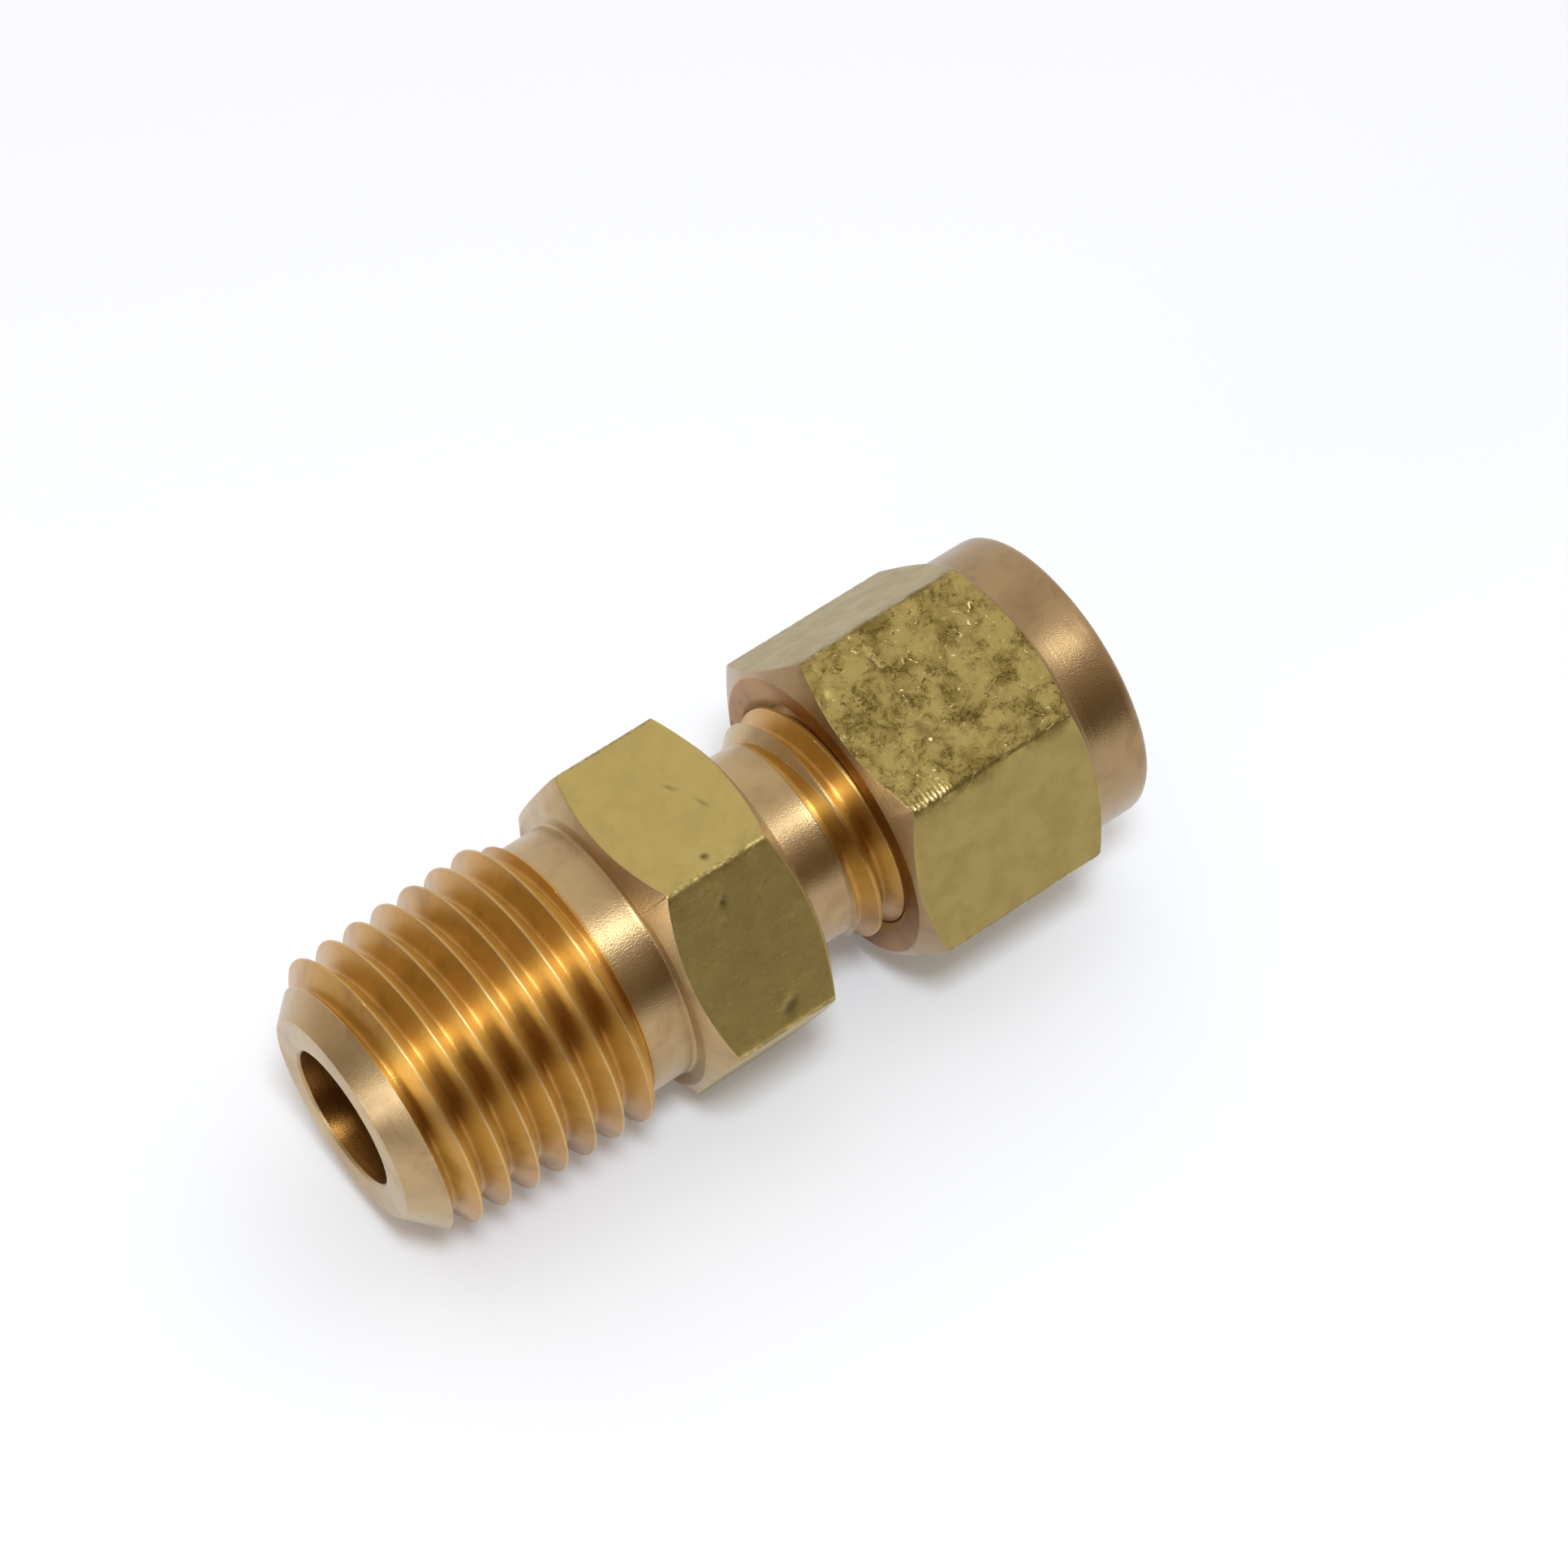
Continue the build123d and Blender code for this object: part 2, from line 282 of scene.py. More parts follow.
def thread(angles, pitch, clock, first, span, groove, blank, plain, hollow=False):
    """The corners of a right-hand thread between two places along X, for every column.

    `groove` gives the root's radius as a function of X, half the width of its flat and how far
    its corners are eased, `blank` the turned surface before the groove is cut, as the places
    and radii of its corners, and `plain` where that surface keeps the finish of turning. A root
    whose flat is narrow becomes one round. A hollow thread is cut outwards.
    """
    narrow = 0.05
    # The crests are drawn in the colour of bare metal: partly wear from knocks, partly a painted
    # highlight for the thin bright lines along them.
    crest_wear_and_highlight = 0.9
    halvings = 28
    root, half_root, soft_root = groove
    blank_x, blank_r = blank
    start, end = span
    side = -1 if hollow else 1
    rounded = half_root < narrow
    half_flat = 0 if rounded else half_root
    found = []
    last_edge = None

    def surface(x):
        return side * np.interp(x, blank_x, blank_r)

    def edge(centre, deepest, floor, cuts, way):
        """Where the groove's flank meets the turned surface, found by halving."""
        near = deepest.copy()
        far = centre + way * pitch / 2
        for _ in range(halvings):
            middle = (near + far) / 2
            rise = np.maximum(np.abs(middle - centre) - half_flat, 0) / flank_slope
            inside = floor + rise < surface(middle)
            near = np.where(inside, middle, near)
            far = np.where(inside, far, middle)
        return np.where(cuts, near, deepest)

    for turn in range(-1, math.ceil((end - first) / pitch) + 2):
        centre = first + pitch * ((angles - clock) / 360 + turn)
        floor = side * root(centre) - (half_root - half_flat) / flank_slope
        lean = np.sign(surface(centre + half_root) - surface(centre - half_root))
        deepest = centre + lean * half_flat
        cuts = floor < surface(deepest)
        left = edge(centre, deepest, floor, cuts, -1)
        right = edge(centre, deepest, floor, cuts, 1)
        if last_edge is not None:
            for place in blank_x:
                if np.any((last_edge < place) & (place < left)):
                    x = np.clip(place, last_edge, left)
                    found.append((x, surface(x), fine_edge, plain(x), 0))
        foot = np.where(cuts, floor, surface(deepest))
        uncut = ~cuts & plain(deepest)
        found.append((left, surface(left), fine_edge, uncut, cuts * crest_wear_and_highlight))
        if rounded:
            found.append((np.where(cuts, centre, deepest), foot, soft_root, uncut, 0))
        else:
            foot_left = np.where(cuts, np.maximum(centre - half_flat, left), deepest)
            foot_right = np.where(cuts, np.minimum(centre + half_flat, right), deepest)
            found.append((foot_left, foot, soft_root, uncut, 0))
            found.append((foot_right, foot, soft_root, uncut, 0))
        found.append((right, surface(right), fine_edge, plain(right), cuts * crest_wear_and_highlight))
        last_edge = right
    xs = np.array([point[0] for point in found])
    rs = np.array([point[1] for point in found])
    for column in range(len(angles)):
        x, r = xs[:, column], rs[:, column]
        r_start, r_end = np.interp([start, end], x, r)
        rs[:, column] = np.where(x <= start, r_start, np.where(x >= end, r_end, r))
    xs = np.clip(xs, start, end)
    return [
        corner(x, side * r, point[2], np.where(point[3], TURNED, THREADED), point[4])
        for x, r, point in zip(xs, rs, found)
    ]


def eased(outline, count):
    """The outline of every column with its corners eased, and the finish of each stretch.

    An ease reaches less than half of the way to the next corner, and a wide one has more points.
    """
    longest_share, wide = 0.45, 0.14
    xs = np.array([np.broadcast_to(point[0], count) for point in outline], float)
    rs = np.array([np.broadcast_to(point[1], count) for point in outline], float)
    finishes = [np.broadcast_to(point[3], count) for point in outline]
    bared = [np.broadcast_to(point[4], count) for point in outline]
    out_x, out_r, out_finish, out_bared = [], [], [], []
    total = len(outline)
    for i in range(total):
        soft = outline[i][2]
        if soft == 0:
            out_x.append(xs[i])
            out_r.append(rs[i])
            out_finish.append(finishes[i])
            out_bared.append(bared[i])
            continue
        here = np.array([xs[i], rs[i]])
        steps = []
        for other in (i - 1, (i + 1) % total):
            away = np.array([xs[other], rs[other]]) - here
            length = np.hypot(*away)
            reach = np.minimum(soft, longest_share * length)
            steps.append(away * reach / np.maximum(length, 1e-9))
        shares = (0, 0.5, 1) if soft < wide else (0, 0.25, 0.5, 0.75, 1)
        for share in shares:
            point = here + steps[0] * (1 - share) ** 2 + steps[1] * share**2
            out_x.append(point[0])
            out_r.append(point[1])
            out_finish.append(finishes[i] if share >= 0.5 else finishes[i - 1])
            out_bared.append(bared[i] * (share == 0.5))
    return np.array(out_x), np.array(out_r), np.array(out_finish), np.array(out_bared)


def ring_mesh(name, angles, outline, materials):
    """A closed mesh swept round the bore from an outline that may differ at each angle.

    A thread's eased corners may differ by a few microns where the last column meets the first,
    and those slits are filled.
    """
    same_point, no_length = 0.0005 * MM, 0.0002 * MM
    xs, rs, finishes, bared = eased(outline, len(angles))
    turn = np.radians(angles)
    points = np.stack([xs, -rs * np.sin(turn), rs * np.cos(turn)], axis=-1).reshape(-1, 3) * MM
    rows, cols = xs.shape
    row, col = np.meshgrid(np.arange(rows), np.arange(cols - 1), indexing="ij")
    below = (row + 1) % rows
    corners = [row * cols + col, row * cols + col + 1, below * cols + col + 1, below * cols + col]
    faces = np.stack(corners, axis=-1).reshape(-1, 4)
    mesh = bpy.data.meshes.new(name)
    mesh.from_pydata(points.tolist(), [], faces.tolist())
    for material in materials:
        mesh.materials.append(material)
    mesh.polygons.foreach_set("material_index", finishes[:, :-1].reshape(-1))
    mesh.attributes.new("bared", "FLOAT", "POINT").data.foreach_set("value", bared.reshape(-1))
    piece = bpy.data.objects.new(name, mesh)
    bpy.context.scene.collection.objects.link(piece)
    work = bmesh.new()
    work.from_mesh(mesh)
    bmesh.ops.remove_doubles(work, verts=work.verts, dist=same_point)
    bmesh.ops.dissolve_degenerate(work, edges=work.edges, dist=no_length)
    seam = [edge for edge in work.edges if edge.is_boundary]
    bmesh.ops.holes_fill(work, edges=seam, sides=0)
    bmesh.ops.recalc_face_normals(work, faces=work.faces)
    for face in work.faces:
        face.smooth = True
    work.to_mesh(mesh)
    work.free()
    piece.modifiers.new("even normals", "WEIGHTED_NORMAL")
    return piece


def linear(code):
    """An sRGB hex colour as linear red, green, blue and full opacity."""
    channels = [int(code[i : i + 2], 16) / 255 for i in (1, 3, 5)]
    lit = [c / 12.92 if c <= 0.04045 else ((c + 0.055) / 1.055) ** 2.4 for c in channels]
    return (*lit, 1)


def add(tree, kind, links=None, **settings):
    """A node with its settings; each link is a value for that input or the socket feeding it."""
    made = tree.nodes.new(kind)
    for setting, value in settings.items():
        setattr(made, setting, value)
    for socket, value in (links or {}).items():
        if isinstance(value, bpy.types.NodeSocket):
            tree.links.new(value, made.inputs[socket])
        else:
            made.inputs[socket].default_value = value
    return made


def turned_finish(name, clean, dull, feed, ring_depth, roughness, across, oil=0.0, coarse=0.0):
    """Brass cut on a lathe: fine rings a feed apart, which spread each reflection across them.

    The rings follow the distance along the bore and the distance from it, so that they run
    round a cylinder, a chamfer and an end face alike, and are deeper over the first `coarse`
    mm of the bore's length. Handling has dulled it in patches, and a film of cutting oil, from
    0 to 1, whitens its glints. A finishing feed of 0.05 mm is too fine to show, so the rings
    are drawn as far apart as they need to be seen. `across` is how far the rings spread a
    reflection, from 0 to 1. Sizes and depths are in mm.
    """
    ring_wander = 0.004  # so that a ring isn't the same all the way round
    coarser, coarse_fade = 2.5, 0.1
    grain_size, grain_depth = 0.08, ring_depth * 1.1
    patch_size = 2.2
    dull_begins, dull_full = 0.42, 0.8
    bare_begins, bare_full = 0.3, 0.8
    smoothest, roughest = roughness - 0.05, roughness + 0.1
    oil_roughness = 0.25
    fresh_cut = "#EBD3A0"
    quarter_turn = 0.25  # reflections spread across the rings
    material = bpy.data.materials.new(name)
    material.use_nodes = True
    tree = material.node_tree
    shader = tree.nodes["Principled BSDF"]
    place = add(tree, "ShaderNodeTexCoord").outputs["Object"]
    split = add(tree, "ShaderNodeSeparateXYZ", {0: place})
    off_axis = add(tree, "ShaderNodeVectorMath", {0: place, 1: (0, 1, 1)}, operation="MULTIPLY")
    radius = add(tree, "ShaderNodeVectorMath", {0: off_axis.outputs[0]}, operation="LENGTH")
    ring = add(
        tree, "ShaderNodeCombineXYZ", {"X": split.outputs["X"], "Y": radius.outputs["Value"]}
    )
    drift = add(
        tree,
        "ShaderNodeVectorMath",
        {0: place, 1: (0, ring_wander, ring_wander)},
        operation="MULTIPLY",
    )
    path = add(
        tree, "ShaderNodeVectorMath", {0: ring.outputs[0], 1: drift.outputs[0]}, operation="ADD"
    )
    rings = add(
        tree,
        "ShaderNodeTexNoise",
        {"Vector": path.outputs[0], "Scale": 1 / (feed * MM), "Detail": 2, "Roughness": 0.6},
    )
    grain = add(
        tree,
        "ShaderNodeTexNoise",
        {"Vector": place, "Scale": 1 / (grain_size * MM), "Detail": 1},
    )
    ring_height = add(
        tree,
        "ShaderNodeMapRange",
        {
            "Value": split.outputs["X"],
            "From Min": coarse * MM,
            "From Max": (coarse + coarse_fade) * MM,
            "To Min": ring_depth * coarser * MM,
            "To Max": ring_depth * MM,
        },
    )
    cut = add(
        tree,
        "ShaderNodeBump",
        {"Height": rings.outputs[0], "Strength": 1, "Distance": ring_height.outputs[0]},
    )
    grained = add(
        tree,
        "ShaderNodeBump",
        {
            "Height": grain.outputs[0],
            "Strength": 1,
            "Distance": grain_depth * MM,
            "Normal": cut.outputs[0],
        },
    )
    patches = add(
        tree,
        "ShaderNodeTexNoise",
        {
            "Vector": place,
            "Scale": 1 / (patch_size * MM),
            "Detail": 4,
            "Roughness": 0.6,
            "Distortion": 0.4,
        },
    )
    dulled = add(
        tree,
        "ShaderNodeMapRange",
        {"Value": patches.outputs[0], "From Min": dull_begins, "From Max": dull_full},
        interpolation_type="SMOOTHSTEP",
    )
    colour = add(
        tree,
        "ShaderNodeMix",
        {0: dulled.outputs[0], 6: linear(clean), 7: linear(dull)},
        data_type="RGBA",
    )
    # Where the metal is bared it takes the colour of a fresh cut; on thread crests this is partly a
    # painted highlight.
    bared = add(tree, "ShaderNodeAttribute", attribute_name="bared").outputs["Fac"]
    burnished = add(
        tree, "ShaderNodeMapRange", {"Value": bared, "From Min": bare_begins, "From Max": bare_full}
    )
    bright = add(
        tree,
        "ShaderNodeMix",
        {0: burnished.outputs[0], 6: colour.outputs[2], 7: linear(fresh_cut)},
        data_type="RGBA",
    )
    tree.links.new(bright.outputs[2], shader.inputs["Base Color"])
    blurred = add(
        tree,
        "ShaderNodeMapRange",
        {"Value": patches.outputs[0], "To Min": smoothest, "To Max": roughest},
    )
    tree.links.new(blurred.outputs[0], shader.inputs["Roughness"])
    tree.links.new(grained.outputs[0], shader.inputs["Normal"])
    round_the_bore = add(tree, "ShaderNodeTangent", direction_type="RADIAL", axis="X")
    tree.links.new(round_the_bore.outputs[0], shader.inputs["Tangent"])
    shader.inputs["Metallic"].default_value = 1
    shader.inputs["Anisotropic"].default_value = across
    shader.inputs["Coat Weight"].default_value = oil
    shader.inputs["Coat Roughness"].default_value = oil_roughness
    shader.inputs["Anisotropic Rotation"].default_value = quarter_turn
    return material


def drawn_finish(name, clean, stained, stained_side, amount):
    """Brass drawn through a die: fine lines along the bar, smudged, stained and pitted.

    The smudges and stains are strongest on the flat at the angle `stained_side`, where they
    reach `amount`, from 0 to 1. The lines are drawn a little coarser than a die leaves them, so
    that they show. Sizes are in mm.
    """
    line_size, line_depth, line_stretch = 0.13, 0.004, 0.05
    smudge_size, smudge_depth = 1.3, 0.012
    smudge_begins, smudge_full = 0.36, 0.66
    pit_size, pit_depth = 0.42, 0.02
    pit_begins, pit_full = 0.62, 0.74
    fleck_begins, fleck_full = 0.33, 0.27  # the flecks are where the pits' pattern is lowest
    vein_size, half_vein, vein_dirt = 0.9, 0.02, 0.75
    flat_begins, flat_reached = 6.4, 7.1  # distances from the bore's axis
    other_flats = 0.25  # the share of the stains that the other flats have
    only_stained = 2.5  # the power that leaves pits to the flats with the most stains
    pit_dirt, edge_dirt, fresh_metal = "#5E4A1E", "#6B5A36", "#E6CE95"
    bare_begins, bare_full = 0.45, 0.9
    grime_begins, grime_full = -0.1, -0.7
    polished, dried = 0.34, 0.55
    material = bpy.data.materials.new(name)
    material.use_nodes = True
    tree = material.node_tree
    shader = tree.nodes["Principled BSDF"]
    place = add(tree, "ShaderNodeTexCoord").outputs["Object"]
    lengthwise = add(
        tree,
        "ShaderNodeVectorMath",
        {0: place, 1: (line_stretch, 1, 1)},
        operation="MULTIPLY",
    )
    die_lines = add(
        tree,
        "ShaderNodeTexNoise",
        {
            "Vector": lengthwise.outputs[0],
            "Scale": 1 / (line_size * MM),
            "Detail": 3,
            "Roughness": 0.65,
        },
    )
    turn = math.radians(stained_side)
    flat_way = (0, -math.sin(turn), math.cos(turn))
    height = add(tree, "ShaderNodeVectorMath", {0: place, 1: flat_way}, operation="DOT_PRODUCT")
    on_flat = add(
        tree,
        "ShaderNodeMapRange",
        {
            "Value": height.outputs["Value"],
            "From Min": flat_begins * MM,
            "From Max": flat_reached * MM,
            "To Min": other_flats,
            "To Max": amount,
        },
    )
    heavily = add(
        tree, "ShaderNodeMath", {0: on_flat.outputs[0], 1: only_stained}, operation="POWER"
    )
    smudges = add(
        tree,
        "ShaderNodeTexNoise",
        {
            "Vector": place,
            "Scale": 1 / (smudge_size * MM),
            "Detail": 8,
            "Roughness": 0.68,
            "Distortion": 0.25,
        },
    )
    smudged = add(
        tree,
        "ShaderNodeMapRange",
        {"Value": smudges.outputs[0], "From Min": smudge_begins, "From Max": smudge_full},
        interpolation_type="SMOOTHSTEP",
    )
    stain = add(
        tree,
        "ShaderNodeMath",
        {0: smudged.outputs[0], 1: on_flat.outputs[0]},
        operation="MULTIPLY",
    )
    flat_colour = add(
        tree,
        "ShaderNodeMix",
        {0: stain.outputs[0], 6: linear(clean), 7: linear(stained)},
        data_type="RGBA",
    )
    pits = add(
        tree,
        "ShaderNodeTexNoise",
        {
            "Vector": place,
            "Scale": 1 / (pit_size * MM),
            "Detail": 3,
            "Roughness": 0.55,
            "Distortion": 1.2,
        },
    )
    pitted = add(
        tree,
        "ShaderNodeMapRange",
        {"Value": pits.outputs[0], "From Min": pit_begins, "From Max": pit_full},
        interpolation_type="SMOOTHSTEP",
    )
    wander = add(
        tree,
        "ShaderNodeTexNoise",
        {
            "Vector": place,
            "Scale": 1 / (vein_size * MM),
            "Detail": 6,
            "Roughness": 0.7,
            "Distortion": 0.5,
        },
    )
    off_middle = add(tree, "ShaderNodeMath", {0: wander.outputs[0], 1: 0.5}, operation="SUBTRACT")
    distance = add(tree, "ShaderNodeMath", {0: off_middle.outputs[0]}, operation="ABSOLUTE")
    veins = add(
        tree,
        "ShaderNodeMapRange",
        {"Value": distance.outputs[0], "From Min": half_vein, "From Max": 0, "To Max": vein_dirt},
    )
    veins_in_smudges = add(
        tree,
        "ShaderNodeMath",
        {0: veins.outputs[0], 1: smudged.outputs[0]},
        operation="MULTIPLY",
    )
    pits_and_veins = add(
        tree,
        "ShaderNodeMath",
        {0: pitted.outputs[0], 1: veins_in_smudges.outputs[0]},
        operation="MAXIMUM",
    )
    pit_share = add(
        tree,
        "ShaderNodeMath",
        {0: pits_and_veins.outputs[0], 1: heavily.outputs[0]},
        operation="MULTIPLY",
        use_clamp=True,
    )
    colour = add(
        tree,
        "ShaderNodeMix",
        {0: pit_share.outputs[0], 6: flat_colour.outputs[2], 7: linear(pit_dirt)},
        data_type="RGBA",
    )
    bared = add(tree, "ShaderNodeAttribute", attribute_name="bared").outputs["Fac"]
    burnished = add(
        tree, "ShaderNodeMapRange", {"Value": bared, "From Min": bare_begins, "From Max": bare_full}
    )
    flecks = add(
        tree,
        "ShaderNodeMapRange",
        {"Value": pits.outputs[0], "From Min": fleck_begins, "From Max": fleck_full},
    )
    flecks_there = add(
        tree,
        "ShaderNodeMath",
        {0: flecks.outputs[0], 1: heavily.outputs[0]},
        operation="MULTIPLY",
    )
    bared_or_fleck = add(
        tree,
        "ShaderNodeMath",
        {0: burnished.outputs[0], 1: flecks_there.outputs[0]},
        operation="MAXIMUM",
    )
    grimy = add(
        tree,
        "ShaderNodeMapRange",
        {"Value": bared, "From Min": grime_begins, "From Max": grime_full},
    )
    edged = add(
        tree,
        "ShaderNodeMix",
        {0: grimy.outputs[0], 6: colour.outputs[2], 7: linear(edge_dirt)},
        data_type="RGBA",
    )
    bright = add(
        tree,
        "ShaderNodeMix",
        {0: bared_or_fleck.outputs[0], 6: edged.outputs[2], 7: linear(fresh_metal)},
        data_type="RGBA",
    )
    tree.links.new(bright.outputs[2], shader.inputs["Base Color"])
    lined = add(
        tree,
        "ShaderNodeBump",
        {"Height": die_lines.outputs[0], "Strength": 1, "Distance": line_depth * MM},
    )
    hollowed = add(
        tree,
        "ShaderNodeBump",
        {
            "Height": pit_share.outputs[0],
            "Strength": 1,
            "Distance": -pit_depth * MM,
            "Normal": lined.outputs[0],
        },
    )
    uneven = add(
        tree,
        "ShaderNodeBump",
        {
            "Height": smudges.outputs[0],
            "Strength": 1,
            "Distance": smudge_depth * MM,
            "Normal": hollowed.outputs[0],
        },
    )
    tree.links.new(uneven.outputs[0], shader.inputs["Normal"])
    dry = add(
        tree,
        "ShaderNodeMapRange",
        {"Value": stain.outputs[0], "To Min": polished, "To Max": dried},
    )
    tree.links.new(dry.outputs[0], shader.inputs["Roughness"])
    shader.inputs["Metallic"].default_value = 1
    return material


# Turned brass shows rings and bright streaks across them; it is pinker than the bar's skin.
turned_brass = turned_finish(
    "turned_brass",
    "#BDA071",
    "#A8895E",
    feed=0.14,
    ring_depth=0.008,
    roughness=0.4,
    across=0.8,
    oil=0.4,
    coarse=1.8,
)
# A threading tool leaves finer rings, so the flanks reflect each other in a warm amber.
threaded_brass = turned_finish(
    "threaded_brass",
    "#CE9C47",
    "#B08234",
    feed=0.07,
    ring_depth=0.004,
    roughness=0.45,
    across=0.93,
    oil=0.45,
)
# The skin of the drawn bar is olive and dull, with lines from the die and stains from hands.
drawn_bar_brass = drawn_finish(
    "drawn_bar_brass", "#B59F60", "#93804A", stained_side=side_flat, amount=0.5
)
# A drill leaves a rougher wall. It is drawn darker and browner than the turned faces: painted shade
# inside the bores and on the nut's face round its mouth.
bored_brass_painted_shade = turned_finish(
    "bored_brass_painted_shade", "#A07238", "#7A5222", feed=0.2, ring_depth=0.008, roughness=0.34, across=0.6
)

body_angles = columns(rest_turn)
body_bar = bar_radius(body_angles, rest_turn)
crest_end = neck_start - (pipe_crest + pipe_taper * neck_start - neck) / (
    runout_slope + pipe_taper
)
end_chamfer = (pipe_crest - end_face_radius) / (1 - pipe_taper)
crest_at_end = pipe_crest + pipe_taper * crest_end
pipe_blank = (
    [0, end_chamfer, crest_end, neck_start, hex_start],
    [end_face_radius, end_face_radius + end_chamfer, crest_at_end, neck, neck],
)
root_at_end = pipe_crest - pipe_depth + pipe_taper * pipe_length
screw_rise = screw_crest - collar
screw_root = screw_crest - screw_depth
screw_blank = (
    [0, collar_end, collar_end + screw_rise, body_end - mouth_chamfer, body_end],
    [collar, collar, screw_crest, screw_crest, screw_crest - mouth_chamfer],
)
hex_back = hex_start + (body_bar - hex_face) * chamfer_slope
hex_front = hex_end - (body_bar - hex_face) * chamfer_slope
neck_first = neck_start + 0.06
thread_margin = 0.02  # a thread's points stop this short of the end of a piece
collar_last = collar_end - 0.5
screw_first = collar_end - 0.3
pipe_half_root = (pipe_pitch - pipe_crest_flat) / 2 - pipe_depth * flank_slope
pipe_root_ease = 0.3
screw_half_root = (nut_pitch - screw_crest_flat) / 2 - screw_depth * flank_slope
screw_root_ease = 0.08
neck_rows, bore_rows = 6, 8
body_rows = np.linspace(0, 1, 61)

# Marks on the hexagon, most of them full of dirt.
body_marks = [
    (side_flat, 16.8, 2.6, 0.3, 0.14, 45, 0.04, -0.8),
    (side_flat, 17.7, -3.2, 0.5, 0.25, 30, 0.04, -0.6),
    (top_flat, 17.1, -3.4, 0.2, 0.18, 0, 0.05, -0.9),
    (top_flat, 18.1, 0.5, 0.4, 0.12, -60, 0.025, -0.45),
    (top_flat, 18.7, -1.0, 0.4, 0.12, -70, 0.025, -0.45),
]


def pipe_root(x):
    """The pipe thread's groove follows the taper, then comes out towards the neck."""
    well_before = -9
    return np.interp(
        x,
        [well_before, pipe_length, pipe_length + groove_runout * pipe_pitch, far_along],
        [pipe_crest - pipe_depth + well_before * pipe_taper, root_at_end, neck, neck],
    )


def screw_root_at(x):
    """The straight thread's groove keeps one depth."""
    return np.full_like(x, screw_root)


def before_pipe_thread(x):
    """Where the lathe's rings show: on the end chamfer, before the thread's first crest."""
    first_crest = end_chamfer * 0.9
    return x < first_crest


def beyond_screw(x):
    """The slope from the collar and the chamfer at the mouth."""
    return (x < collar_end + screw_rise) | (x > body_end - mouth_chamfer)


body_outline = [
    corner(0, bore_mouth + mouth_edge, fine_edge),
    corner(0, end_face_radius, worn_edge),
    *thread(
        body_angles,
        pipe_pitch,
        pipe_clock,
        -pipe_pitch,
        (thread_margin, neck_start),
        (pipe_root, pipe_half_root, pipe_root_ease),
        pipe_blank,
        before_pipe_thread,
    ),
    corner(neck_first, neck, fine_edge),
    *along((neck_first, neck), (hex_start - neck_fillet, neck), neck_rows, TURNED),
    corner(hex_start - neck_fillet, neck),
    corner(hex_start, neck, neck_root_ease),
    corner(hex_start, neck + neck_fillet),
    corner(hex_start, hex_face, hex_edge),
    *bar_face(body_angles, rest_turn, hex_back, hex_front, body_rows, body_marks),
    corner(hex_end, hex_face, hex_edge),
    corner(hex_end, collar, collar_root_ease),
    corner(collar_last, collar),
    *thread(
        body_angles,
        nut_pitch,
        screw_clock,
        collar_end - nut_pitch,
        (screw_first, body_end - thread_margin),
        (screw_root_at, screw_half_root, screw_root_ease),
        screw_blank,
        beyond_screw,
    ),
    corner(body_end, screw_root, fine_edge),
    corner(body_end, tube_hole + (body_end - seat_start) * seat_slope, fine_edge, BORED),
    corner(seat_start, tube_hole, fine_edge, BORED),
    corner(tube_stop, tube_hole, 0, BORED),
    corner(tube_stop, flow_bore, fine_edge, BORED),
    corner(back_drill_depth + drill_cone, flow_bore, fine_edge, BORED),
    corner(back_drill_depth, bore_mouth, fine_edge, BORED),
    *along((back_drill_depth, bore_mouth), (mouth_edge, bore_mouth), bore_rows, BORED),
    corner(mouth_edge, bore_mouth, fine_edge, TURNED),
]
body_finishes = [turned_brass, threaded_brass, drawn_bar_brass, bored_brass_painted_shade]
body_piece = ring_mesh("connector", body_angles, body_outline, body_finishes)
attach(body_piece, "connector")
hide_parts("connector_body")

# ---- nut -----------------------------------------------------------------------------------
# Turned from the same hexagonal bar and screwed onto the body. Its far end is turned down to a
# round shoulder with a rounded rim, and inside it carries the thread, a relief groove and the
# cone that will press the ferrules onto a tube.
nut_turn = 17.6  # degrees from the body's flats to its own
nut_top_flat = 14.9  # the flat in view, by its angle from straight up
nut_end = 37.851
nut_start = nut_end - 12.75
nut_hex_end = nut_start + 9.8
nut_face = bar_flats / 2 - 0.25
shoulder = bar_flats / 2 - 0.165
shoulder_root_ease = 0.1
rim = 0.75
nut_mouth = screw_crest + 0.38
nut_crest = screw_root + 0.15
crest_play = 0.08
nut_bottom = screw_crest + crest_play
relief_start = 31.4875
relief_end = relief_start + 0.9
nut_hole = 3.325
cone_foot = 34.252
cone_start = cone_foot - (nut_crest - nut_hole)
flank_play = 0.06

nut_angles = columns(rest_turn + nut_turn)
nut_bar = bar_radius(nut_angles, rest_turn + nut_turn)
nut_back = nut_start + (nut_bar - nut_face) * chamfer_slope
nut_front = nut_hex_end - (nut_bar - shoulder) * chamfer_slope
groove_half_root = (
    screw_crest_flat / 2 + flank_play / math.cos(math.radians(30)) - crest_play * flank_slope
)
groove_root_ease = 0.05
mouth_cone_end = nut_start + nut_mouth - nut_crest
# Rows of points along the flats: closer near the mouth, where the chatter marks are.
nut_rows = np.concatenate([np.linspace(0, 0.26, 48), np.linspace(0.276, 1, 48)])
shoulder_rows = 4

